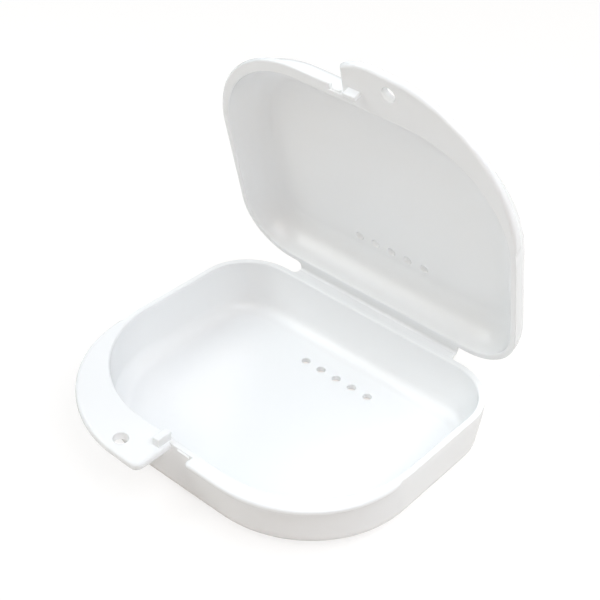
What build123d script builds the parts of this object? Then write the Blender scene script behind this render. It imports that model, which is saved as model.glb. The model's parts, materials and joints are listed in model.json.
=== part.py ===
"""Retainer case: a shallow tray and a shallow lid that a thin folding strip joins along the back.

Millimetres, +Z up. The origin is the middle of the flat bottom, +Y is towards the hinge and the
tray opens upwards. The case stands open, with its lid leaning forward over the tray.
"""

import os
from math import cos, radians, sin, tan

from build123d import *

# Plan of the two shells
back_width = 79.1           # between the side walls, at the back wall
front_width = 80.7          # between the side walls, carried on to the tray's front wall
base_depth = 64.3           # tray, back wall to front wall, outside
front_setback = 1.5         # how far the lid's front wall stands behind the tray's
back_radius = 13.7          # back corners of both shells
base_front_radius = 28.5    # front corners of the tray
lid_front_radius = 26.0     # front corners of the lid

# Walls of the two shells
base_height = 14.7          # flat bottom to rim
lid_height = 8.9            # rim to flat top
wall = 1.55                 # thickness of every wall
floor = 1.35                # thickness of the tray's floor and of the lid's top
base_band = 2.4             # height of the straight part of the tray's walls, next to the rim
lid_band = 0.8              # the same of the lid's walls
lid_side = 0.2              # height of the leaning part between that and the lid's round
draft = 4.5                 # lean of the walls beyond that, in degrees
base_round = 5.0            # outside round between the tray's walls and its bottom
base_inside_round = 3.8     # inside round at the foot of the tray's walls
rim_round = 0.4             # small round along the inner edge of each rim

# Front lips, thumb tabs and lanyard holes
base_lip_reach = 2.3        # how far the tray's lip stands out from its front wall
lid_lip_reach = 1.6
lip_radius = 26.3           # front corner of both lips
lip_thickness = 1.3
lip_edge_round = 0.5
lip_end_radius = 0.9        # corner at the latch end of a lip
tab_reach = 9.9             # how far a thumb tab stands out from its own front wall
tab_radius = 32.0           # front corner of a thumb tab
tab_thickness = 2.0
tab_edge_round = 0.85       # round on both sides of a tab's outer edge
base_tab_end_radius = 2.0   # corner at the latch end of the tray's tab
lid_tab_end_radius = 12.0
lid_tab_end_cut = 4.6       # how much of that corner the latch end of the lid's tab cuts off
lanyard_hole = 3.4          # diameter
lanyard_x = 10.5            # from the middle of the case
base_lanyard_inset = 3.9    # from the front edge of the tab to the middle of the hole
lid_lanyard_inset = 4.4

# Latch, where the ends of the two thumb tabs meet
latch_x = -1.8              # where both tabs end
base_notch = 5.9            # from there to the start of the tray's lip
lid_notch = 3.3             # from there to the start of the lid's lip
base_catch_end_gap = 0.9    # from the end of the tray's tab to its catch
base_catch_gap = 0.5        # from that catch to the end of the lid's lip
lid_catch_gap = 2.0         # from the end of the lid's tab to its catch
lid_catch_length = 3.2      # sideways
catch_clearance = 0.45      # between a catch and the wall that it slides past
base_catch_thickness = 3.8  # front to back
lid_catch_thickness = 1.1
catch_height = 2.0          # how far a catch stands beyond its own rim
catch_round = 0.5           # outer corner of a catch's tip
barb_reach = 0.3            # how far the barb stands out from a catch, towards the wall
barb_height = 0.8
ridge_radius = 0.35         # ridge along the wall, which the barb snaps past
ridge_reach = 0.3           # how far the ridge stands out from the wall
ridge_depth = 0.6           # from the rim to the middle of the ridge

# Vents
vent_count = 5
vent_pitch = 4.72
vent_diameter = 2.1
base_vent_inset = 11.1      # from the outside of the back wall to the row of holes
lid_vent_inset = 10.8

# Folding strip
strip_width = 47.0
hinge_reach = 2.2           # from each back wall to the fold
leaf_thickness = 1.1
leaf_root_round = 1.2       # where a leaf's two ends run into the back wall
leaf_edge_round = 0.5       # outside edge of a leaf, next to the fold
fold_half = 0.5             # from the fold to the edge of each leaf
fold_thickness = 0.4
rim_gap = 0.2               # between the two rims when the case is shut
lid_open = 74.1             # angle between the two rims as the case stands, in degrees

# Places worked out from the sizes
back_y = base_depth / 2
base_front_y = back_y - base_depth
lid_front_y = base_front_y + front_setback
base_lip_front_y = base_front_y - base_lip_reach
lid_lip_front_y = lid_front_y - lid_lip_reach
base_tab_front_y = base_front_y - tab_reach
lid_tab_front_y = lid_front_y - tab_reach
hinge_y = back_y + hinge_reach
hinge_z = base_height + rim_gap / 2
leaf_end_y = hinge_y - fold_half
base_corner_y = base_front_y + base_front_radius
lid_corner_y = lid_front_y + lid_front_radius
wall_slope = tan(radians(draft))
base_lean = (base_height - base_band) * wall_slope
lid_lean = (lid_height - lid_band) * wall_slope

# The rounds of the lid take up its walls, from where their leaning part ends to the flat top
round_rise = tan(radians(45 - draft / 2))
lid_round = (lid_height - lid_band - lid_side) / round_rise
lid_inside_round = (lid_height - floor - lid_band - lid_side) / round_rise

# The two rim planes. Each faces out of its own shell, and on both of them local y is the case's
# own y with the lid shut. Local x runs to -X on the tray and to +X on the lid, which puts the
# thumb tab of each on its positive side.
swing = radians(lid_open)
lid_back = Vector(0, cos(swing), -sin(swing))
lid_out = Vector(0, sin(swing), cos(swing))
hinge_point = Vector(0, hinge_y, hinge_z)
base_rim = Plane(origin=(0, 0, base_height), x_dir=(-1, 0, 0), z_dir=(0, 0, -1))
lid_rim = Plane(
    origin=hinge_point - lid_back * hinge_y + lid_out * (rim_gap / 2),
    x_dir=(1, 0, 0),
    z_dir=lid_out,
)
base_depth_axis = Axis(base_rim.origin, base_rim.z_dir)
lid_depth_axis = Axis(lid_rim.origin, lid_rim.z_dir)

# Where the tabs, lips and catches start and end, in the local x of their own rim plane
base_tab_end = -latch_x
lid_tab_end = latch_x
base_lip_end = -latch_x - base_notch
lid_lip_end = latch_x - lid_notch
base_catch_start = base_tab_end + base_catch_end_gap
base_catch_length = -lid_lip_end - base_catch_gap - base_catch_start
lid_catch_start = lid_tab_end + lid_catch_gap


def half_width(y):
    """Distance from the middle of the case to the line of a side wall at y."""
    return (back_width + (front_width - back_width) * (back_y - y) / base_depth) / 2


def plan(front_y, front_radius, inset=0.0):
    """The D-shaped plan of the case with its front at front_y, drawn in all round by inset."""
    with BuildSketch(mode=Mode.PRIVATE) as shape:
        with BuildLine():
            Polyline(
                (-half_width(back_y), back_y),
                (half_width(back_y), back_y),
                (half_width(front_y), front_y),
                (-half_width(front_y), front_y),
                close=True,
            )
        make_face()
        fillet(shape.vertices().group_by(Axis.Y)[-1], back_radius)
        fillet(shape.vertices().group_by(Axis.Y)[0], front_radius)
        if inset:
            offset(amount=-inset)
    return shape.sketch


def half_plan(front_y, front_radius, end, side, end_radius, corner_y, end_cut=0.0):
    """The part of a plan beyond local x = end, towards +x (side 1) or -x (side -1).

    It ends at corner_y, where the front corner of its shell runs into the side wall. The first
    part of the corner at its end, as wide as end_cut, is cut off.
    """
    middle = end + side * front_width / 2
    with BuildSketch(mode=Mode.PRIVATE) as shape:
        add(plan(front_y, front_radius))
        with Locations((middle - side * end_cut, corner_y - base_depth)):
            Rectangle(front_width, 2 * base_depth, mode=Mode.INTERSECT)
        front_corners = shape.vertices().group_by(Axis.Y)[0].sort_by(Axis.X)
        fillet(front_corners[0] if side > 0 else front_corners[-1], end_radius)
        with Locations((middle, corner_y - base_depth)):
            Rectangle(front_width, 2 * base_depth, mode=Mode.INTERSECT)
    return shape.sketch


def leaf_plan():
    """One leaf of the folding strip, with a round at each end of its root."""
    half = strip_width / 2
    root = half + leaf_root_round
    straight_y = back_y + leaf_root_round
    with BuildSketch(mode=Mode.PRIVATE) as shape:
        with BuildLine():
            Line((root, back_y), (-root, back_y))
            RadiusArc((-root, back_y), (-half, straight_y), leaf_root_round)
            Polyline(
                (-half, straight_y),
                (-half, leaf_end_y),
                (half, leaf_end_y),
                (half, straight_y),
            )
            RadiusArc((half, straight_y), (root, back_y), leaf_root_round)
        make_face()
    return shape.sketch


def across(rim, start):
    """The plane square to a rim at local x = start. Its own x and y are the rim's y and z."""
    return Plane(origin=rim.origin + rim.x_dir * start, x_dir=rim.y_dir, z_dir=rim.x_dir)


def catch_side(wall_y, thickness):
    """Side view of a catch, whose barb faces the wall with its outside at wall_y."""
    back = wall_y - catch_clearance
    front = back - thickness
    tip = -catch_height
    with BuildSketch(mode=Mode.PRIVATE) as shape:
        with BuildLine():
            Polyline(
                (front, 0),
                (back, 0),
                (back, tip + barb_height),
                (back + barb_reach, tip + barb_height / 2),
                (back, tip),
                (front, tip),
                close=True,
            )
        make_face()
        fillet(shape.vertices().group_by(Axis.X)[0].sort_by(Axis.Y)[0], catch_round)
    return shape.sketch


def vent_row(inset):
    """The row of vent holes, inset from the outside of the back wall."""
    with BuildSketch(mode=Mode.PRIVATE) as shape:
        with Locations((0, back_y - inset)):
            with GridLocations(vent_pitch, 0, vent_count, 1):
                Circle(vent_diameter / 2)
    return shape.sketch


# Tray, with its vents and the ridge for the lid's catch
with BuildPart() as base_inside:
    with BuildSketch(base_rim):
        add(plan(base_front_y, base_front_radius, wall))
    extrude(amount=base_band)
    with BuildSketch(base_rim.offset(base_band)):
        add(plan(base_front_y, base_front_radius, wall))
    with BuildSketch(base_rim.offset(base_height - floor)):
        add(plan(base_front_y, base_front_radius, wall + base_lean - floor * wall_slope))
    loft()
    fillet(base_inside.faces().sort_by(base_depth_axis)[-1].edges(), base_inside_round)

with BuildPart() as base_tray:
    with BuildSketch(base_rim):
        add(plan(base_front_y, base_front_radius))
    extrude(amount=base_band)
    with BuildSketch(base_rim.offset(base_band)):
        add(plan(base_front_y, base_front_radius))
    with BuildSketch(base_rim.offset(base_height)):
        add(plan(base_front_y, base_front_radius, base_lean))
    loft()
    fillet(base_tray.faces().sort_by(base_depth_axis)[-1].edges(), base_round)
    with BuildSketch(across(base_rim, -lid_catch_start)):
        with Locations((base_front_y + ridge_radius - ridge_reach, ridge_depth)):
            Circle(ridge_radius)
    extrude(amount=-lid_catch_length)
    add(base_inside.part, mode=Mode.SUBTRACT)
    fillet(base_tray.faces().sort_by(base_depth_axis)[0].inner_wires()[0].edges(), rim_round)
    with BuildSketch(base_rim.offset(base_height)):
        add(vent_row(base_vent_inset))
    extrude(amount=-2 * floor, mode=Mode.SUBTRACT)
base_tray.part.label = "base_tray"


# Lip along the front of the tray
with BuildPart() as base_front_lip:
    with BuildSketch(base_rim):
        add(half_plan(base_lip_front_y, lip_radius, base_lip_end, -1, lip_end_radius, base_corner_y))
    extrude(amount=lip_thickness)
    fillet(base_front_lip.faces().filter_by(base_depth_axis).edges(), lip_edge_round)
    with BuildSketch(base_rim):
        add(plan(base_front_y, base_front_radius))
    extrude(amount=lip_thickness, mode=Mode.SUBTRACT)
base_front_lip.part.label = "base_front_lip"


# Thumb tab of the tray, with its lanyard hole
with BuildPart() as base_thumb_tab:
    with BuildSketch(base_rim):
        add(half_plan(base_tab_front_y, tab_radius, base_tab_end, 1, base_tab_end_radius, base_corner_y))
    extrude(amount=tab_thickness)
    fillet(base_thumb_tab.faces().filter_by(base_depth_axis).edges(), tab_edge_round)
    with BuildSketch(base_rim):
        add(plan(base_front_y, base_front_radius))
        with Locations((lanyard_x, base_tab_front_y + base_lanyard_inset)):
            Circle(lanyard_hole / 2)
    extrude(amount=tab_thickness, mode=Mode.SUBTRACT)
base_thumb_tab.part.label = "base_thumb_tab"


# Catch of the tray, which reaches up past the front wall of the lid
with BuildPart() as base_catch:
    with BuildSketch(across(base_rim, base_catch_start)):
        add(catch_side(lid_front_y, base_catch_thickness))
    extrude(amount=base_catch_length)
base_catch.part.label = "base_catch"


# Leaf of the folding strip on the tray
with BuildPart() as base_hinge_leaf:
    with BuildSketch(base_rim):
        add(leaf_plan())
    extrude(amount=leaf_thickness)
    leaf_edge = base_hinge_leaf.faces().sort_by(base_depth_axis)[-1].edges().sort_by(Axis.Y)[-1]
    fillet(leaf_edge, leaf_edge_round)
base_hinge_leaf.part.label = "base_hinge_leaf"


# Lid, with its vents and the ridge for the tray's catch
with BuildPart() as lid_inside:
    with BuildSketch(lid_rim):
        add(plan(lid_front_y, lid_front_radius, wall))
    extrude(amount=lid_band)
    with BuildSketch(lid_rim.offset(lid_band)):
        add(plan(lid_front_y, lid_front_radius, wall))
    with BuildSketch(lid_rim.offset(lid_height - floor)):
        add(plan(lid_front_y, lid_front_radius, wall + lid_lean - floor * wall_slope))
    loft()
    fillet(lid_inside.faces().sort_by(lid_depth_axis)[-1].edges(), lid_inside_round)

with BuildPart() as lid_outside:
    with BuildSketch(lid_rim):
        add(plan(lid_front_y, lid_front_radius))
    extrude(amount=lid_band)
    with BuildSketch(lid_rim.offset(lid_band)):
        add(plan(lid_front_y, lid_front_radius))
    with BuildSketch(lid_rim.offset(lid_height)):
        add(plan(lid_front_y, lid_front_radius, lid_lean))
    loft()
    fillet(lid_outside.faces().sort_by(lid_depth_axis)[-1].edges(), lid_round)

with BuildPart() as lid_shell:
    add(lid_outside.part)
    with BuildSketch(across(lid_rim, -base_catch_start)):
        with Locations((lid_front_y + ridge_radius - ridge_reach, ridge_depth)):
            Circle(ridge_radius)
    extrude(amount=-base_catch_length)
    add(lid_inside.part, mode=Mode.SUBTRACT)
    fillet(lid_shell.faces().sort_by(lid_depth_axis)[0].inner_wires()[0].edges(), rim_round)
    with BuildSketch(lid_rim.offset(lid_height)):
        add(vent_row(lid_vent_inset))
    extrude(amount=-2 * floor, mode=Mode.SUBTRACT)
lid_shell.part.label = "lid_shell"


# Lip along the front of the lid
with BuildPart() as lid_front_lip:
    with BuildSketch(lid_rim):
        add(half_plan(lid_lip_front_y, lip_radius, lid_lip_end, -1, lip_end_radius, lid_corner_y))
    extrude(amount=lip_thickness)
    fillet(lid_front_lip.faces().filter_by(lid_depth_axis).edges(), lip_edge_round)
    add(lid_outside.part, mode=Mode.SUBTRACT)
lid_front_lip.part.label = "lid_front_lip"


# Thumb tab of the lid, with its lanyard hole
with BuildPart() as lid_thumb_tab:
    with BuildSketch(lid_rim):
        corner = (lid_tab_end_radius, lid_corner_y, lid_tab_end_cut)
        add(half_plan(lid_tab_front_y, tab_radius, lid_tab_end, 1, *corner))
    extrude(amount=tab_thickness)
    fillet(lid_thumb_tab.faces().filter_by(lid_depth_axis).edges(), tab_edge_round)
    add(lid_outside.part, mode=Mode.SUBTRACT)
    with BuildSketch(lid_rim):
        with Locations((lanyard_x, lid_tab_front_y + lid_lanyard_inset)):
            Circle(lanyard_hole / 2)
    extrude(amount=tab_thickness, mode=Mode.SUBTRACT)
lid_thumb_tab.part.label = "lid_thumb_tab"


# Catch of the lid, which reaches down past the front wall of the tray
with BuildPart() as lid_catch:
    with BuildSketch(across(lid_rim, lid_catch_start)):
        add(catch_side(base_front_y, lid_catch_thickness))
    extrude(amount=lid_catch_length)
lid_catch.part.label = "lid_catch"


# Leaf of the folding strip on the lid
with BuildPart() as lid_hinge_leaf:
    with BuildSketch(lid_rim):
        add(leaf_plan())
    extrude(amount=leaf_thickness)
    leaf_edge = lid_hinge_leaf.faces().sort_by(lid_depth_axis)[-1].edges().sort_by(Axis.Z)[0]
    fillet(leaf_edge, leaf_edge_round)
lid_hinge_leaf.part.label = "lid_hinge_leaf"


# Thin web between the two leaves, bent as far as the lid is open
with BuildPart() as hinge_web:
    bend_rise = fold_half * tan(swing / 2)
    bend_centre = (leaf_end_y, hinge_z + bend_rise)
    inner_radius = bend_rise + rim_gap / 2
    with BuildSketch(Plane.YZ):
        with BuildLine():
            inner_arc = CenterArc(bend_centre, inner_radius, -90, 180 - lid_open)
            outer_arc = CenterArc(bend_centre, inner_radius + fold_thickness, -90, 180 - lid_open)
            Line(inner_arc @ 0, outer_arc @ 0)
            Line(inner_arc @ 1, outer_arc @ 1)
        make_face()
    extrude(amount=strip_width / 2, both=True)
hinge_web.part.label = "hinge_web"


nodes = [
    base_tray,
    base_front_lip,
    base_thumb_tab,
    base_catch,
    base_hinge_leaf,
    lid_shell,
    lid_front_lip,
    lid_thumb_tab,
    lid_catch,
    lid_hinge_leaf,
    hinge_web,
]
os.makedirs("parts", exist_ok=True)
for node in nodes:
    export_step(node.part, "parts/" + node.part.label + ".step")
    print(node.part.label, len(node.part.solids()), round(node.part.volume, 1))
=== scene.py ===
"""Dresses the retainer case: a vented tray and lid on a living hinge, moulded in white plastic."""

import json
import math
from collections import namedtuple

import bmesh
import bpy
from bpy.props import FloatProperty, FloatVectorProperty, IntProperty, PointerProperty
from bpy.types import Operator, Panel, PropertyGroup
from mathutils import Matrix, Vector


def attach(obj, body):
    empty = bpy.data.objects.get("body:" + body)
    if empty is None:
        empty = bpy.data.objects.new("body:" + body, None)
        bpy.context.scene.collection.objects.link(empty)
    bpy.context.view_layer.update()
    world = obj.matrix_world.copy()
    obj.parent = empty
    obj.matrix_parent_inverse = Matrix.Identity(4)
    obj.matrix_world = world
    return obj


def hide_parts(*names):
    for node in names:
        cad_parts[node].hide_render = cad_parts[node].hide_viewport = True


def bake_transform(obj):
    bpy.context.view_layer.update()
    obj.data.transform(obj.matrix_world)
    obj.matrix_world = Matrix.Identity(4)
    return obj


bl_info = {
    "name": "Retainer case",
    "version": (1, 0, 0),
    "blender": (4, 5, 0),
    "location": "View3D > Sidebar > Retainer case",
    "description": "Models the tray, the lid, the catches and the folding line of a retainer case",
    "category": "Add Mesh",
}

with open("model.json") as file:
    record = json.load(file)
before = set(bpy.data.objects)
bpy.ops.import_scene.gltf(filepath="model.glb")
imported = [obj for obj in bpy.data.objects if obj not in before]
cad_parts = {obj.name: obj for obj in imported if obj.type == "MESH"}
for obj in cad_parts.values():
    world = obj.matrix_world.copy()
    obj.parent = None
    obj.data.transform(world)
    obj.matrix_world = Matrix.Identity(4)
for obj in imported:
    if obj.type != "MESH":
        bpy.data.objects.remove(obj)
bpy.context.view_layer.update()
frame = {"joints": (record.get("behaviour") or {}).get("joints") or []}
HINGE = frame["joints"][0]
LID_OPEN = math.radians(-HINGE["range_deg"][0])

ROUND_STEPS = 6         # segments of a small edge round
FOOT_STEPS = 10         # segments of the round at the foot of a wall
BACK_STEPS = 18         # segments of a back corner
FRONT_STEPS = 36        # segments of a front corner
HOLE_STEPS = 32         # segments round a hole
FOLD_STEPS = 24         # segments of the folding line
CATCH_STEPS = 3         # segments of a catch's eased edge
FREE = 1.0              # distance from a latch end, where there is none near
WELD = 2e-6             # points closer than this are one
LEAF_SHARPER = 0.6      # share of the rim's outer round that is lost along a leaf
MARK_SLOPE = 4.0        # width of an ejector mark's sloping edge over its height
SHARP = math.radians(38)


def length(name, millimetres, description):
    """A length property, given in millimetres and kept in metres."""
    return FloatProperty(
        name=name,
        description=description,
        default=millimetres / 1000,
        precision=5,
        unit="LENGTH",
    )


def angle(name, degrees, description):
    """An angle property, given in degrees and kept in radians."""
    return FloatProperty(
        name=name,
        description=description,
        default=math.radians(degrees),
        unit="ROTATION",
    )


def share(name, part, description):
    """A property between nothing and one."""
    return FloatProperty(
        name=name,
        description=description,
        default=part,
        min=0.0,
        max=1.0,
        subtype="FACTOR",
    )


def number(name, value, description):
    """A plain number, such as the scale of a texture."""
    return FloatProperty(name=name, description=description, default=value, precision=4)


def colour(name, value, description):
    """A colour property."""
    return FloatVectorProperty(
        name=name,
        description=description,
        subtype="COLOR",
        size=3,
        min=0.0,
        max=1.0,
        default=value,
    )


def watts(name, power, description):
    """The power of a lamp."""
    return FloatProperty(name=name, description=description, default=power, min=0.0, unit="POWER")


class RETAINER_PG_case(PropertyGroup):
    """Sizes that the tray and the lid share."""

    back_width: length("Back width", 79.1, "Between the side walls at the back wall")
    front_width: length("Front width", 80.7, "Between the side walls at the tray's front wall")
    depth: length("Depth", 64.3, "Back wall to the tray's front wall, outside")
    back_radius: length("Back corners", 13.7, "Radius of the back corners")
    wall: length("Wall", 1.55, "Thickness of the walls")
    floor: length("Floor", 1.35, "Thickness of the tray's floor and of the lid's top")
    rim_round: length("Rim round", 0.4, "Round along the inner edge of the rim")
    edge_round: length("Edge round", 0.22, "Round along the outer edge of the rim")
    draft: angle("Draft", 4.5, "Lean of the walls beyond the rim band")
    tab_reach: length("Tab reach", 9.9, "Thumb tabs, out from their own front wall")
    tab_radius: length("Tab corner", 32.0, "Radius of a thumb tab's front corner")
    tab_thickness: length("Tab thickness", 2.0, "Thickness of a thumb tab")
    tab_round: length("Tab edge round", 0.85, "Round on both sides of a tab's edge")
    lip_radius: length("Lip corner", 26.3, "Radius of a lip's front corner")
    lip_thickness: length("Lip thickness", 1.3, "Thickness of a lip")
    lip_round: length("Lip edge round", 0.5, "Round on both sides of a lip's edge")
    lip_end_radius: length("Lip end corner", 0.9, "Corner at the latch end of a lip")
    lanyard_hole: length("Lanyard hole", 3.4, "Diameter of the lanyard holes")
    lanyard_x: length("Lanyard hole, sideways", 10.5, "From the middle of the case")
    vent_diameter: length("Vent diameter", 2.1, "Diameter of the vent holes")
    vent_pitch: length("Vent pitch", 4.72, "Between two vent holes")
    vent_count: IntProperty(name="Vents", description="Holes in a row", default=5, min=1)
    hole_round: length("Hole edge", 0.12, "Eased edge of every hole")
    strip_width: length("Strip width", 47.0, "Width of the folding strip")
    hinge_reach: length("Hinge reach", 2.2, "From the back walls to the fold")
    leaf_thickness: length("Leaf thickness", 1.1, "Thickness of the strip's leaves")
    leaf_root_round: length("Leaf root", 1.2, "Round where a leaf runs into the wall")
    leaf_edge_round: length("Leaf edge", 0.5, "Outside edge of a leaf, next to the fold")
    leaf_step: length("Leaf step", 0.12, "From the rim down to the leaf's surface")
    fold_half: length("Fold half", 0.5, "From the fold to the edge of each leaf")
    fold_thickness: length("Fold thickness", 0.4, "Thickness of the folding line")
    rim_gap: length("Rim gap", 0.2, "Between the two rims of the shut case")
    catch_height: length("Catch height", 2.0, "How far a catch stands beyond its rim")
    catch_clearance: length("Catch clearance", 0.45, "To the wall that a catch slides past")
    catch_ease: length("Catch edges", 0.25, "Eased edges of the catches")
    barb_reach: length("Barb reach", 0.3, "How far a barb stands out from its catch")
    barb_height: length("Barb height", 0.8, "Height of a barb")
    ridge_radius: length("Ridge radius", 0.35, "Ridge that a barb snaps past")
    ridge_reach: length("Ridge reach", 0.3, "How far a ridge stands out from its wall")
    ridge_depth: length("Ridge depth", 0.6, "From the rim to the middle of a ridge")


class RETAINER_PG_tray(PropertyGroup):
    """Sizes of the tray alone."""

    height: length("Height", 14.7, "Flat bottom to rim")
    band: length("Rim band", 2.4, "Height of the straight part of the walls")
    front_setback: length("Front setback", 0.0, "Its front wall, behind the tray's")
    front_radius: length("Front corners", 28.5, "Radius of the front corners")
    outside_round: length("Outside round", 5.0, "Round between the walls and the bottom")
    inside_round: length("Inside round", 3.8, "Inside round at the foot of the walls")
    lip_reach: length("Lip reach", 2.3, "How far the lip stands out from the front wall")
    tab_end: length("Tab end", 1.8, "Latch end of the thumb tab, from the middle")
    tab_end_radius: length("Tab end corner", 2.0, "Corner at the latch end of the tab")
    tab_end_cut: length("Tab end cut", 0.0, "How much of that corner the end cuts off")
    lanyard_inset: length("Lanyard hole, inset", 3.9, "From the tab's front edge")
    lip_end: length("Lip end", -4.1, "Latch end of the lip, from the middle")
    catch_start: length("Catch start", 2.7, "Near side of the catch, from the middle")
    catch_width: length("Catch width", 1.9, "Width of the catch")
    catch_thickness: length("Catch thickness", 3.8, "Front to back")
    vent_inset: length("Vent inset", 11.1, "Back wall to the row of vents")
    vent_taper: length("Vent taper", 0.0, "How much smaller a vent's radius is on the outside")
    mark_x: length("Mark, sideways", 20.4, "Ejector marks, from the middle")
    mark_y: length("Mark, lengthways", 14.0, "Ejector marks, from the middle")
    mark_radius: length("Mark radius", 3.0, "Radius of an ejector mark")
    mark_height: length("Mark height", 0.05, "Height of an ejector mark, or none for no marks")


class RETAINER_PG_lid(PropertyGroup):
    """Sizes of the lid alone."""

    height: length("Height", 8.9, "Flat top to rim")
    band: length("Rim band", 0.8, "Height of the straight part of the walls")
    front_setback: length("Front setback", 1.5, "Its front wall, behind the tray's")
    front_radius: length("Front corners", 26.0, "Radius of the front corners")
    outside_round: length("Outside round", 8.546, "Round between the walls and the top")
    inside_round: length("Inside round", 7.086, "Inside round at the foot of the walls")
    lip_reach: length("Lip reach", 1.6, "How far the lip stands out from the front wall")
    tab_end: length("Tab end", -1.8, "Latch end of the thumb tab, from the middle")
    tab_end_radius: length("Tab end corner", 12.0, "Corner at the latch end of the tab")
    tab_end_cut: length("Tab end cut", 4.6, "How much of that corner the end cuts off")
    lanyard_inset: length("Lanyard hole, inset", 4.4, "From the tab's front edge")
    lip_end: length("Lip end", -5.1, "Latch end of the lip, from the middle")
    catch_start: length("Catch start", 0.2, "Near side of the catch, from the middle")
    catch_width: length("Catch width", 3.2, "Width of the catch")
    catch_thickness: length("Catch thickness", 1.1, "Front to back")
    vent_inset: length("Vent inset", 10.8, "Back wall to the row of vents")
    vent_taper: length("Vent taper", 0.25, "How much smaller a vent's radius is on the outside")
    mark_height: length("Mark height", 0.0, "Height of an ejector mark, or none for no marks")


class RETAINER_PG_finish(PropertyGroup):
    """Colour, gloss and grain of the plastic."""

    white: colour("White", (0.955, 0.957, 0.957), "Colour of the plastic")
    shade: colour("Shade", (0.925, 0.93, 0.935), "Colour of its faint clouds")
    speck: colour("Speck", (0.78, 0.77, 0.75), "Colour of the tiny specks")
    gloss_low: share("Smoothest", 0.08, "Roughness where the plastic is smoothest")
    gloss_high: share("Roughest", 0.16, "Roughness where it has been handled most")
    scatter: share("Scatter", 0.7, "Share of the light that goes into the plastic")
    depth: length("Scatter depth", 2.5, "How far light spreads inside the plastic")
    cloud_scale: number("Cloud scale", 45.0, "Clouds to a metre")
    speck_scale: number("Speck scale", 250.0, "Cells to a metre, each with one speck")
    handled_scale: number("Handling scale", 90.0, "Handled patches to a metre")
    wave_scale: number("Wave scale", 110.0, "Waves of the moulded skin to a metre")
    wave_height: length("Wave height", 0.3, "Height of the waves at full strength")
    wave_strength: share("Wave strength", 0.12, "How strongly the waves turn the light")
    grain_scale: number("Grain scale", 2600.0, "Grains of the moulded skin to a metre")
    grain_height: length("Grain height", 0.03, "Height of the grain at full strength")
    grain_strength: share("Grain strength", 0.1, "How strongly the grain turns the light")


class RETAINER_PG_studio(PropertyGroup):
    """Camera, lamps and floor."""

    azimuth: angle("Azimuth", 38.276, "Camera's bearing from the front, to the right")
    elevation: angle("Elevation", 38.537, "Camera's height above the level")
    roll: angle("Roll", 3.934, "Camera's turn about its own axis")
    distance: length("Distance", 295.065, "Camera to its target")
    target_y: length("Target, lengthways", 7.15, "Camera's target")
    target_z: length("Target, height", 20.0, "Camera's target")
    lens: number("Lens", 79.545, "Focal length in mm")
    shift_x: number("Shift across", -0.0039, "Lens shift")
    shift_y: number("Shift up", 0.0719, "Lens shift")
    ambient: number("Ambient", 0.005, "Strength of the light from all round")
    key_power: watts("Key lamp", 0.18, "Small softbox high on the left, which draws the lines of light")
    top_power: watts("Top lamp", 0.15, "Small softbox overhead, which lights the inside corners")
    rear_power: watts("Rear lamp", 1.85, "Softbox behind on the right")
    back_power: watts("Back lamp", 0.46, "Softbox behind on the left")
    front_power: watts("Front lamp", 1.11, "Softbox in front on the left")
    fill_power: watts("Fill lamp", 0.87, "Softbox next to the camera")
    right_power: watts("Right lamp", 1.47, "Softbox high on the right")
    left_power: watts("Left lamp", 0.37, "Softbox close by on the left")
    floor_reach: length("Floor", 2000.0, "Middle of the floor to its edge")
    floor_colour: colour("Floor colour", (0.895, 0.862, 0.835), "Colour of the floor")
    floor_glow: share("Floor glow", 0.7, "Share of its own white that lightens the floor for the camera")
    glow_strength: number("Glow strength", 1.1, "Strength of that white")
    glow_start: length("Glow, from", 24.0, "Radius within which the floor seen through the vents has none")
    glow_full: length("Glow, full", 30.0, "Radius from which it is full")


Lamp = namedtuple("Lamp", "name bearing height distance size color")
LAMPS = (
    Lamp("key", -65, 60, 0.7, 0.12, (0.93, 0.97, 1.0)),
    Lamp("top", 38, 84, 0.7, 0.12, (1.0, 1.0, 1.0)),
    Lamp("rear", 150, 35, 0.7, 0.45, (0.98, 1.0, 0.97)),
    Lamp("back", -140, 40, 0.7, 0.45, (1.0, 0.9, 0.83)),
    Lamp("front", -45, 30, 0.7, 0.40, (1.0, 0.98, 0.92)),
    Lamp("fill", 38, 40, 0.7, 0.40, (1.0, 0.86, 0.74)),
    Lamp("right", 80, 60, 0.5, 0.40, (0.9, 0.94, 1.0)),
    Lamp("left", -75, 45, 0.35, 0.30, (0.8, 0.92, 1.0)),
)
LAMP_AIM = Vector((0, 0, 0.02))

# A station is a place x, y on the outside of the wall that faces along out_x, out_y. What stands out
# there has this reach and is thick deep. Rounds of the sizes top and low run along its edge, and its
# upper face lies step below the rim. The latch end is gap away. Its corner has that radius, less the
# strip end_cut.
Station = namedtuple(
    "Station", "x y out_x out_y reach thick top low gap corner step end_cut", defaults=(0.0, 0.0)
)


def rim_matrix(kind):
    """Places a shell's own rim plane, whose z points out of that shell, in the frame.

    Local y is the case's own y with the lid shut, and the thumb tab is on the side of +x.
    """
    case = bpy.context.scene.retainer_case
    tray = bpy.context.scene.retainer_tray
    if kind == "tray":
        turn = Matrix.Rotation(math.pi, 4, "Y")
        return Matrix.Translation((0, 0, tray.height)) @ turn
    hinge = Vector((0, case.depth / 2 + case.hinge_reach, tray.height + case.rim_gap / 2))
    swing = Matrix.Rotation(-LID_OPEN, 4, "X")
    offset = Vector((0, -hinge.y, case.rim_gap / 2))
    return Matrix.Translation(hinge) @ swing @ Matrix.Translation(offset)


def half_width(case, y):
    """Distance from the middle of the case to the line of a side wall at y."""
    forward = (case.depth / 2 - y) / case.depth
    return (case.back_width + (case.front_width - case.back_width) * forward) / 2


def side_angle(case):
    """How far the side walls turn outwards towards the front."""
    return math.atan((case.front_width - case.back_width) / 2 / case.depth)


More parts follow.
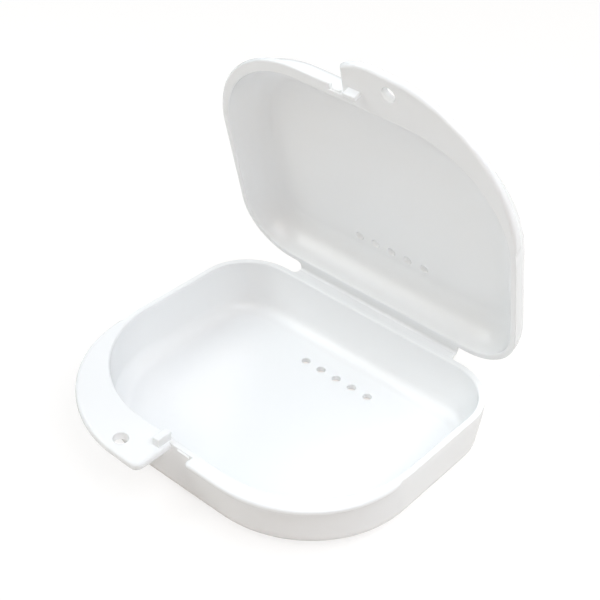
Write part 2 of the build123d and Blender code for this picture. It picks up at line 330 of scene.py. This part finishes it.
def corner_centre(case, y, radius):
    """Centre of a corner, at y, whose arc meets the line of the side wall."""
    return Vector((half_width(case, y) - radius / math.cos(side_angle(case)), y))


def reach_to(case, point, out, front, radius):
    """Distance from point, along out, to the outline of the plan with that front and corner."""
    centre = corner_centre(case, front + radius, radius)
    if out.y < 0:
        straight = (front - point.y) / out.y
        if point.x + out.x * straight <= centre.x:
            return straight
    gap = point - centre
    along = gap.dot(out)
    inside = along * along - gap.length_squared + radius * radius
    if inside < 0:
        return 0.0
    reach = math.sqrt(inside) - along
    return max(reach, 0.0) if point.y + out.y * reach < centre.y else 0.0


def quarter_turn():
    """The angles of the points along a small round."""
    return [step / ROUND_STEPS * math.pi / 2 for step in range(ROUND_STEPS + 1)]


def round_at(radius, gap):
    """How far a rounded edge has dropped at this distance in from it."""
    inner = max(radius - gap, 0.0)
    return radius - math.sqrt(max(radius * radius - inner * inner, 0.0))


def latch_gaps(edge, corner, end_cut):
    """Distances from a latch end at which the round and then the corner need a station."""
    turns = quarter_turn()
    near = [edge * (1 - math.cos(turn)) for turn in turns]
    far = [corner * (1 - math.cos(turn)) - end_cut for turn in turns]
    return sorted(near + [gap for gap in far if gap > edge + WELD])


def stations(case, own):
    """Once round the wall from the middle of its back, past the thumb tab, the latch and the lip."""
    back = case.depth / 2
    front = -back + own.front_setback
    tilt = side_angle(case)
    rear = corner_centre(case, back - case.back_radius, case.back_radius)
    fore = corner_centre(case, front + own.front_radius, own.front_radius)
    tab = (front - case.tab_reach, case.tab_radius, case.tab_thickness, case.tab_round)
    lip = (front - own.lip_reach, case.lip_radius, case.lip_thickness, case.lip_round)
    edge = case.edge_round
    found = []

    def plain(x, y, out, thick):
        found.append(Station(x, y, out.x, out.y, 0.0, thick, edge, 0.0, FREE, 0.0))

    def leaf(x, reach):
        part = min(reach / case.leaf_edge_round, 1.0)
        low = case.leaf_edge_round * part
        top = edge * (1 - part * LEAF_SHARPER)
        step = case.leaf_step * part
        found.append(Station(x, back, 0, 1, reach, case.leaf_thickness, top, low, FREE, 0.0, step))

    def edged(x, y, out, shape, side):
        outline, radius, thick, full = shape
        reach = reach_to(case, Vector((x * side, y)), Vector((out.x * side, out.y)), outline, radius)
        top = min(full, edge + reach / 2)
        found.append(Station(x, y, out.x, out.y, reach, thick, top, min(full, reach / 2), FREE, 0.0))

    def latch_end(x, side, shape, corner, end_cut=0.0):
        outline, radius, thick, full = shape
        reach = front - outline
        run = [
            Station(x + side * gap, front, 0, -1, reach, thick, full, full, gap, corner, 0.0, end_cut)
            for gap in latch_gaps(full, corner, end_cut)
        ]
        run.insert(0, Station(x, front, 0, -1, 0.0, thick, full, full, 0.0, 0.0))
        found.extend(run if side < 0 else reversed(run))

    def back_wall(side):
        half = case.strip_width / 2
        root = case.leaf_root_round
        run = [(0.0, case.hinge_reach - case.fold_half), (half, case.hinge_reach - case.fold_half)]
        for turn in quarter_turn():
            run.append((half + root * (1 - math.cos(turn)), root * (1 - math.sin(turn))))
        for x, reach in run if side > 0 else reversed(run):
            leaf(side * x, reach)

    def corner(side, centre, radius, first, last, steps, shape=None):
        for step in range(steps + 1):
            turn = first + (last - first) * step / steps
            out = Vector((math.cos(turn) * side, math.sin(turn)))
            x, y = centre.x * side + out.x * radius, centre.y + out.y * radius
            if shape:
                edged(x, y, out, shape, side)
            else:
                plain(x, y, out, (tab if side > 0 else lip)[2])

    back_wall(1)
    corner(1, rear, case.back_radius, math.pi / 2, tilt, BACK_STEPS)
    corner(1, fore, own.front_radius, tilt, -math.pi / 2, FRONT_STEPS, tab)
    latch_end(own.tab_end, 1, tab, own.tab_end_radius, own.tab_end_cut)
    latch_end(own.lip_end, -1, lip, case.lip_end_radius)
    corner(-1, fore, own.front_radius, -math.pi / 2, tilt, FRONT_STEPS, lip)
    corner(-1, rear, case.back_radius, tilt, math.pi / 2, BACK_STEPS)
    back_wall(-1)
    return found


def bowl(case, band, inset, height, radius):
    """Half of a wall, from its straight band down to the floor, as points (out, depth)."""
    lean = math.tan(case.draft)
    depth = height - radius
    centre = -inset - (depth - band) * lean - radius / math.cos(case.draft)
    points = [(-inset, band)]
    for step in range(FOOT_STEPS + 1):
        turn = case.draft + (math.pi / 2 - case.draft) * step / FOOT_STEPS
        points.append((centre + radius * math.cos(turn), depth + radius * math.sin(turn)))
    return points


def depth_of(point):
    """The depth of a point (out, depth)."""
    return point[1]


def wall_out(outside, depth):
    """Where the outside of a wall is at this depth, between the points of its outline."""
    for (out, high), (next_out, low) in zip(outside, outside[1:]):
        if high < depth <= low:
            return out + (next_out - out) * (depth - high) / (low - high)
    return outside[0][0]


def flange(case, outside, at):
    """The outer edge of the rim and what stands out from it, as points (out, depth)."""

    def edge_point(radius, turn):
        gap = min(radius * (1 - math.sin(turn)), at.gap)
        out = at.reach - gap
        past = at.gap + at.end_cut
        if past < at.corner:
            across = (at.corner - gap) ** 2 - (at.corner - past) ** 2
            out = at.reach - at.corner + math.sqrt(max(across, 0.0))
        return out, round_at(radius, gap)

    turns = quarter_turn()
    upper = [(out, drop + at.step) for out, drop in [edge_point(at.top, turn) for turn in turns]]
    lower = [(out, at.thick - drop) for out, drop in [edge_point(at.low, turn) for turn in turns]]
    lower.reverse()
    if not at.reach:
        lower = [(wall_out(outside, depth), depth) for out, depth in lower]
    start = min(0.0, upper[0][0])
    lift = upper[0][1]
    eased = min(case.edge_round, lift)
    rim = [(start - eased * (1 - math.sin(turn)), eased * (1 - math.cos(turn))) for turn in turns]
    foot = lower[-1][1]
    root = (wall_out(outside, foot), foot)
    below = [max(root, point, key=depth_of) for point in outside]
    return rim + [(start, lift)] + upper + lower + [root] + below


def section(case, own, at):
    """The wall's whole cross-section at a station, from the inside floor over the rim to the bottom."""
    inside = bowl(case, own.band, case.wall, own.height - case.floor, own.inside_round)
    outside = bowl(case, own.band, 0.0, own.height, own.outside_round)
    rim = case.rim_round
    points = list(reversed(inside))
    for turn in quarter_turn():
        points.append((-case.wall + rim * (1 - math.cos(turn)), rim * (1 - math.sin(turn))))
    points += flange(case, outside, at)
    return [Vector((at.x + at.out_x * out, at.y + at.out_y * out, depth)) for out, depth in points]


def wrap(rows):
    """A grid with its rows laid along the given points, welded where they meet."""
    bm = bmesh.new()
    across, along = len(rows[0]) - 1, len(rows) - 1
    bmesh.ops.create_grid(bm, x_segments=across, y_segments=along, size=1.0)
    for vert in bm.verts:
        column = round((vert.co.x + 1) / 2 * across)
        row = round((vert.co.y + 1) / 2 * along)
        vert.co = rows[row][column]
    bmesh.ops.remove_doubles(bm, verts=bm.verts, dist=WELD)
    bmesh.ops.dissolve_degenerate(bm, edges=bm.edges, dist=WELD)
    return bm


def through(start, end, radius, outer, ease):
    """Outline of a hole from depth start to depth end, radius to outer, flared at both by ease."""
    past = 2 * ease
    return [
        (0.0, start - past),
        (radius + ease + past, start - past),
        (radius, start + ease),
        (outer, end - ease),
        (outer + ease + past, end + past),
        (0.0, end + past),
    ]


def plug(bm, x, y, outline):
    """Adds the round tool with that outline, as points (out, depth), round the axis at x, y."""
    verts = [bm.verts.new((x + out, y, depth)) for out, depth in outline]
    edges = [bm.edges.new(pair) for pair in zip(verts, verts[1:])]
    bmesh.ops.spin(
        bm,
        geom=verts + edges,
        cent=(x, y, 0),
        axis=(0, 0, 1),
        angle=math.tau,
        steps=HOLE_STEPS,
        use_merge=True,
    )


def hole_tool(case, own):
    """Everything that is cut from a shell: its vents and its lanyard hole."""
    bm = bmesh.new()
    floor = own.height - case.floor
    ease = case.hole_round
    radius = case.vent_diameter / 2
    vent = through(floor, own.height, radius, radius - own.vent_taper, ease)
    for index in range(case.vent_count):
        x = (index - (case.vent_count - 1) / 2) * case.vent_pitch
        plug(bm, x, case.depth / 2 - own.vent_inset, vent)
    y = -case.depth / 2 + own.front_setback - case.tab_reach + own.lanyard_inset
    radius = case.lanyard_hole / 2
    plug(bm, case.lanyard_x, y, through(0.0, case.tab_thickness, radius, radius, ease))
    bmesh.ops.remove_doubles(bm, verts=bm.verts, dist=WELD)
    bmesh.ops.recalc_face_normals(bm, faces=bm.faces)
    return bm


def raised_tool(case, own, other):
    """What stands out from a shell's faces: the ridge for the other's catch and the ejector marks."""
    bm = bmesh.new()
    bmesh.ops.create_cone(
        bm,
        cap_ends=True,
        segments=HOLE_STEPS,
        radius1=case.ridge_radius,
        radius2=case.ridge_radius,
        depth=other.catch_width,
        matrix=Matrix.Rotation(math.pi / 2, 4, "Y"),
    )
    x = -other.catch_start - other.catch_width / 2
    y = -case.depth / 2 + own.front_setback + case.ridge_radius - case.ridge_reach
    bmesh.ops.translate(bm, vec=(x, y, case.ridge_depth), verts=bm.verts)
    if own.mark_height:
        floor = own.height - case.floor
        top, foot = floor - own.mark_height, floor + case.floor / 2
        radius = own.mark_radius
        flat = radius - MARK_SLOPE * own.mark_height
        mark = [(0.0, top), (flat, top), (radius, floor), (radius, foot), (0.0, foot)]
        for y in (-own.mark_y, own.mark_y):
            plug(bm, own.mark_x, y, mark)
    bmesh.ops.remove_doubles(bm, verts=bm.verts, dist=WELD)
    bmesh.ops.recalc_face_normals(bm, faces=bm.faces)
    return bm


def link(bm, name, matrix=None):
    """Makes a bmesh an object of the scene, in the frame's own coordinates."""
    if matrix:
        bmesh.ops.transform(bm, matrix=matrix, verts=bm.verts)
    mesh = bpy.data.meshes.new(name)
    bm.to_mesh(mesh)
    bm.free()
    piece = bpy.data.objects.new(name, mesh)
    bpy.context.scene.collection.objects.link(piece)
    return piece


def finish(piece, body, *nodes):
    """Shades a piece, gives it the white plastic and hands it to the frame."""
    piece.data.shade_smooth()
    piece.data.set_sharp_from_angle(angle=SHARP)
    weighted = piece.modifiers.new("Even shading", "WEIGHTED_NORMAL")
    weighted.keep_sharp = True
    weighted.weight = 100
    piece.data.materials.clear()
    piece.data.materials.append(plastic())
    if body:
        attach(piece, body)
    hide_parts(*nodes)


def carve(piece, tool, operation):
    """Cuts the tool from the piece or joins it on, and leaves the piece a plain mesh."""
    modifier = piece.modifiers.new("Carve", "BOOLEAN")
    modifier.operation = operation
    modifier.solver = "EXACT"
    modifier.object = tool
    view = bpy.context.evaluated_depsgraph_get()
    view.update()
    carved = bpy.data.meshes.new_from_object(piece.evaluated_get(view))
    piece.modifiers.clear()
    whole = piece.data
    piece.data = carved
    bpy.data.meshes.remove(whole)
    bpy.data.objects.remove(tool)
    carved.name = piece.name


def shell(kind, name, other):
    """Models a tray or lid: its walls with the tab, lip and leaf on their rim, closed by its floor."""
    case = bpy.context.scene.retainer_case
    own = getattr(bpy.context.scene, "retainer_" + kind)
    rows = [section(case, own, at) for at in stations(case, own)]
    bm = wrap(rows)
    open_edges = [edge for edge in bm.edges if edge.is_boundary]
    bmesh.ops.holes_fill(bm, edges=open_edges)
    bmesh.ops.recalc_face_normals(bm, faces=bm.faces)
    place = rim_matrix(kind)
    piece = link(bm, name, place)
    carve(piece, link(raised_tool(case, own, other), name + "_raised", place), "UNION")
    carve(piece, link(hole_tool(case, own), name + "_holes", place), "DIFFERENCE")
    return piece


def catch(kind, name, other):
    """Models the catch of a tray or lid, with a barb towards the wall of the other one."""
    case = bpy.context.scene.retainer_case
    own = getattr(bpy.context.scene, "retainer_" + kind)
    back = -case.depth / 2 + other.front_setback - case.catch_clearance
    front = back - own.catch_thickness
    tip = -case.catch_height
    foot = case.edge_round
    profile = [
        (front, foot),
        (back, foot),
        (back, tip + case.barb_height),
        (back + case.barb_reach, tip + case.barb_height / 2),
        (back, tip),
        (front, tip),
    ]
    bm = bmesh.new()
    side = bm.faces.new([bm.verts.new((own.catch_start, y, z)) for y, z in profile])
    grown = bmesh.ops.extrude_face_region(bm, geom=[side])["geom"]
    moved = [item for item in grown if isinstance(item, bmesh.types.BMVert)]
    bmesh.ops.translate(bm, vec=(own.catch_width, 0, 0), verts=moved)
    bmesh.ops.recalc_face_normals(bm, faces=bm.faces)
    proud = [edge for edge in bm.edges if min(vert.co.z for vert in edge.verts) < 0]
    bmesh.ops.bevel(
        bm,
        geom=proud,
        offset=case.catch_ease,
        offset_type="OFFSET",
        segments=CATCH_STEPS,
        profile=0.5,
        affect="EDGES",
        clamp_overlap=True,
        material=-1,
    )
    return link(bm, name, rim_matrix(kind))


def noise(nodes, links, source, scale, detail):
    """A noise texture on the piece's own coordinates."""
    texture = nodes.new("ShaderNodeTexNoise")
    texture.inputs["Scale"].default_value = scale
    texture.inputs["Detail"].default_value = detail
    links.new(source, texture.inputs["Vector"])
    return texture.outputs["Fac"]


def spread(nodes, links, source, given, wanted):
    """A value moved from the given range to the wanted one."""
    node = nodes.new("ShaderNodeMapRange")
    node.inputs["From Min"].default_value, node.inputs["From Max"].default_value = given
    node.inputs["To Min"].default_value, node.inputs["To Max"].default_value = wanted
    links.new(source, node.inputs["Value"])
    return node.outputs["Result"]


def mixed(nodes, links, factor, last):
    """A mix of two colours up to the last one. Returns the socket of the first, and the result."""
    mix = nodes.new("ShaderNodeMix")
    mix.data_type = "RGBA"
    links.new(factor, mix.inputs["Factor"])
    mix.inputs["B"].default_value = (*last, 1.0)
    return mix.inputs["A"], mix.outputs["Result"]


def bump(nodes, links, height, strength, distance):
    """A bump of this height. Returns its socket for the bumps below it, and its normal."""
    node = nodes.new("ShaderNodeBump")
    node.inputs["Strength"].default_value = strength
    node.inputs["Distance"].default_value = distance
    links.new(height, node.inputs["Height"])
    return node.inputs["Normal"], node.outputs["Normal"]


def white_plastic():
    """Glossy white polypropylene: faint clouds, handling marks, and a moulded skin that waves a little."""
    look = bpy.context.scene.retainer_finish
    material = bpy.data.materials.new("white_plastic")
    material.use_nodes = True
    nodes, links = material.node_tree.nodes, material.node_tree.links
    shader = nodes["Principled BSDF"]
    shader.inputs["IOR"].default_value = 1.49
    shader.inputs["Subsurface Weight"].default_value = look.scatter
    shader.inputs["Subsurface Radius"].default_value = (1.0, 0.97, 0.93)
    shader.inputs["Subsurface Scale"].default_value = look.depth
    place = nodes.new("ShaderNodeTexCoord").outputs["Object"]

    clouds = noise(nodes, links, place, look.cloud_scale, 3.0)
    plain, clouded = mixed(nodes, links, clouds, look.shade)
    plain.default_value = (*look.white, 1.0)
    cells = nodes.new("ShaderNodeTexVoronoi")
    cells.inputs["Scale"].default_value = look.speck_scale
    links.new(place, cells.inputs["Vector"])
    specks = spread(nodes, links, cells.outputs["Distance"], (0.03, 0.07), (1.0, 0.0))
    under, specked = mixed(nodes, links, specks, look.speck)
    links.new(clouded, under)
    links.new(specked, shader.inputs["Base Color"])

    handled = noise(nodes, links, place, look.handled_scale, 4.0)
    rough = spread(nodes, links, handled, (0.35, 0.7), (look.gloss_low, look.gloss_high))
    links.new(rough, shader.inputs["Roughness"])

    waves = noise(nodes, links, place, look.wave_scale, 1.0)
    waved = bump(nodes, links, waves, look.wave_strength, look.wave_height)[1]
    grain = noise(nodes, links, place, look.grain_scale, 2.0)
    below, grained = bump(nodes, links, grain, look.grain_strength, look.grain_height)
    links.new(waved, below)
    links.new(grained, shader.inputs["Normal"])
    return material


def plastic():
    """The white plastic, made once."""
    return bpy.data.materials.get("white_plastic") or white_plastic()


class RETAINER_OT_tray(Operator):
    """Models the tray with its thumb tab, lip and hinge leaf"""

    bl_idname = "retainer.tray"
    bl_label = "Tray"

    def execute(self, context):
        piece = shell("tray", "tray", context.scene.retainer_lid)
        finish(piece, "base", "base_tray", "base_front_lip", "base_thumb_tab", "base_hinge_leaf")
        return {"FINISHED"}


class RETAINER_OT_lid(Operator):
    """Models the lid with its thumb tab, lip and hinge leaf"""

    bl_idname = "retainer.lid"
    bl_label = "Lid"

    def execute(self, context):
        piece = shell("lid", "lid", context.scene.retainer_tray)
        finish(piece, "lid", "lid_shell", "lid_front_lip", "lid_thumb_tab", "lid_hinge_leaf")
        return {"FINISHED"}


class RETAINER_OT_catches(Operator):
    """Models the two snap catches"""

    bl_idname = "retainer.catches"
    bl_label = "Catches"

    def execute(self, context):
        scene = context.scene
        piece = catch("tray", "tray_snap", scene.retainer_lid)
        finish(piece, "base", "base_catch")
        piece = catch("lid", "lid_snap", scene.retainer_tray)
        finish(piece, "lid", "lid_catch")
        return {"FINISHED"}


class RETAINER_OT_fold(Operator):
    """Models the thin line that bends between the two hinge leaves"""

    bl_idname = "retainer.fold"
    bl_label = "Folding line"

    def execute(self, context):
        case = context.scene.retainer_case
        height = context.scene.retainer_tray.height
        hinge_y = case.depth / 2 + case.hinge_reach
        hinge_z = height + case.rim_gap / 2
        rise = case.fold_half * math.tan(LID_OPEN / 2)
        middle = rise + case.rim_gap / 2 + case.fold_thickness / 2
        centre = Vector((0, hinge_y - case.fold_half, hinge_z + rise))
        half = case.strip_width / 2
        rows = []
        for step in range(FOLD_STEPS + 1):
            turn = -math.pi / 2 + (math.pi - LID_OPEN) * step / FOLD_STEPS
            out = Vector((0, math.cos(turn), math.sin(turn))) * middle
            rows.append([centre + out + Vector((x, 0, 0)) for x in (-half, half)])
        bm = wrap(rows)
        bmesh.ops.solidify(bm, geom=bm.faces, thickness=case.fold_thickness)
        piece = link(bm, "folding_line")
        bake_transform(piece)
        finish(piece, None, "hinge_web")
        return {"FINISHED"}


def light_up(scene, item, power):
    """Hangs a round softbox at its bearing and height, turned to the case."""
    lamp = bpy.data.lights.new(item.name, "AREA")
    lamp.shape = "DISK"
    lamp.size = item.size
    lamp.energy = power
    lamp.color = item.color
    bearing, height = math.radians(item.bearing), math.radians(item.height)
    level = math.cos(height)
    out = Vector((math.sin(bearing) * level, -math.cos(bearing) * level, math.sin(height)))
    softbox = bpy.data.objects.new(item.name, lamp)
    softbox.location = out * item.distance + LAMP_AIM
    softbox.rotation_euler = (-out).to_track_quat("-Z", "Y").to_euler()
    scene.collection.objects.link(softbox)


def surround(scene, studio):
    """A world that looks white, and lights the case only a little."""
    world = bpy.data.worlds.new("studio")
    scene.world = world
    world.use_nodes = True
    nodes, links = world.node_tree.nodes, world.node_tree.links
    background = nodes["Background"]
    background.inputs["Color"].default_value = (1.0, 1.0, 1.0, 1.0)
    rays = nodes.new("ShaderNodeLightPath")
    seen = nodes.new("ShaderNodeMath")
    seen.operation = "MAXIMUM"
    links.new(rays.outputs["Is Camera Ray"], seen.inputs[0])
    links.new(rays.outputs["Is Glossy Ray"], seen.inputs[1])
    strength = spread(nodes, links, seen.outputs["Value"], (0.0, 1.0), (studio.ambient, 1.0))
    links.new(strength, background.inputs["Strength"])


def aim(scene, studio):
    """Places the camera where the photograph was taken from."""
    lens = bpy.data.cameras.new("camera")
    lens.lens = studio.lens
    lens.sensor_width = 36.0
    lens.shift_x = studio.shift_x
    lens.shift_y = studio.shift_y
    lens.clip_start = 0.01
    camera = bpy.data.objects.new("camera", lens)
    place = Matrix.Translation((0, studio.target_y, studio.target_z))
    place @= Matrix.Rotation(studio.azimuth, 4, "Z")
    place @= Matrix.Rotation(math.pi / 2 - studio.elevation, 4, "X")
    place @= Matrix.Translation((0, 0, studio.distance))
    place @= Matrix.Rotation(studio.roll, 4, "Z")
    camera.matrix_world = place
    scene.collection.objects.link(camera)
    scene.camera = camera


def floor_material(studio):
    """A pale floor that reads white to the camera and keeps the case's shadow."""
    material = bpy.data.materials.new("floor")
    material.use_nodes = True
    nodes, links = material.node_tree.nodes, material.node_tree.links
    shader = nodes["Principled BSDF"]
    shader.inputs["Base Color"].default_value = (*studio.floor_colour, 1.0)
    shader.inputs["Roughness"].default_value = 0.9
    shader.inputs["Specular IOR Level"].default_value = 0.0
    glow = nodes.new("ShaderNodeEmission")
    glow.inputs["Color"].default_value = (1.0, 1.0, 1.0, 1.0)
    glow.inputs["Strength"].default_value = studio.glow_strength
    rays = nodes.new("ShaderNodeLightPath")
    middle = nodes.new("ShaderNodeVectorMath")
    middle.operation = "LENGTH"
    links.new(nodes.new("ShaderNodeTexCoord").outputs["Object"], middle.inputs[0])
    ring = (studio.glow_start, studio.glow_full)
    beside = spread(nodes, links, middle.outputs["Value"], ring, (0.0, studio.floor_glow))
    seen = nodes.new("ShaderNodeMath")
    seen.operation = "MULTIPLY"
    links.new(rays.outputs["Is Camera Ray"], seen.inputs[0])
    links.new(beside, seen.inputs[1])
    both = nodes.new("ShaderNodeMixShader")
    links.new(seen.outputs["Value"], both.inputs["Fac"])
    links.new(shader.outputs["BSDF"], both.inputs[1])
    links.new(glow.outputs["Emission"], both.inputs[2])
    links.new(both.outputs["Shader"], nodes["Material Output"].inputs["Surface"])
    return material


class RETAINER_OT_studio(Operator):
    """Sets up the floor, the lamps, the world and the camera"""

    bl_idname = "retainer.studio"
    bl_label = "Studio"

    def execute(self, context):
        scene = context.scene
        studio = scene.retainer_studio
        scene.view_settings.view_transform = "Standard"
        bm = bmesh.new()
        bmesh.ops.create_grid(bm, x_segments=1, y_segments=1, size=studio.floor_reach)
        floor = link(bm, "floor")
        floor.data.materials.append(floor_material(studio))
        surround(scene, studio)
        for item in LAMPS:
            light_up(scene, item, getattr(studio, item.name + "_power"))
        aim(scene, studio)
        return {"FINISHED"}


class RETAINER_PT_panel(Panel):
    """Lists the steps that model the case"""

    bl_idname = "RETAINER_PT_panel"
    bl_label = "Retainer case"
    bl_space_type = "VIEW_3D"
    bl_region_type = "UI"
    bl_category = "Retainer case"

    def draw(self, context):
        for step in STEPS:
            self.layout.operator("retainer." + step)
        for name in GROUPS:
            settings = getattr(context.scene, name)
            box = self.layout.box()
            for prop in settings.bl_rna.properties:
                if prop.identifier not in {"rna_type", "name"}:
                    box.prop(settings, prop.identifier)


STEPS = ("studio", "tray", "lid", "catches", "fold")
GROUPS = {
    "retainer_case": RETAINER_PG_case,
    "retainer_tray": RETAINER_PG_tray,
    "retainer_lid": RETAINER_PG_lid,
    "retainer_finish": RETAINER_PG_finish,
    "retainer_studio": RETAINER_PG_studio,
}
CLASSES = (
    *GROUPS.values(),
    RETAINER_OT_tray,
    RETAINER_OT_lid,
    RETAINER_OT_catches,
    RETAINER_OT_fold,
    RETAINER_OT_studio,
    RETAINER_PT_panel,
)


def register():
    """Registers the classes and hangs the settings on the scene."""
    for item in CLASSES:
        bpy.utils.register_class(item)
    for name, group in GROUPS.items():
        setattr(bpy.types.Scene, name, PointerProperty(type=group))


def unregister():
    """Removes the settings and the classes."""
    for name in GROUPS:
        delattr(bpy.types.Scene, name)
    for item in reversed(CLASSES):
        bpy.utils.unregister_class(item)


def main():
    """Builds the whole scene."""
    register()
    for step in STEPS:
        getattr(bpy.ops.retainer, step)()


if __name__ == "__main__":
    main()
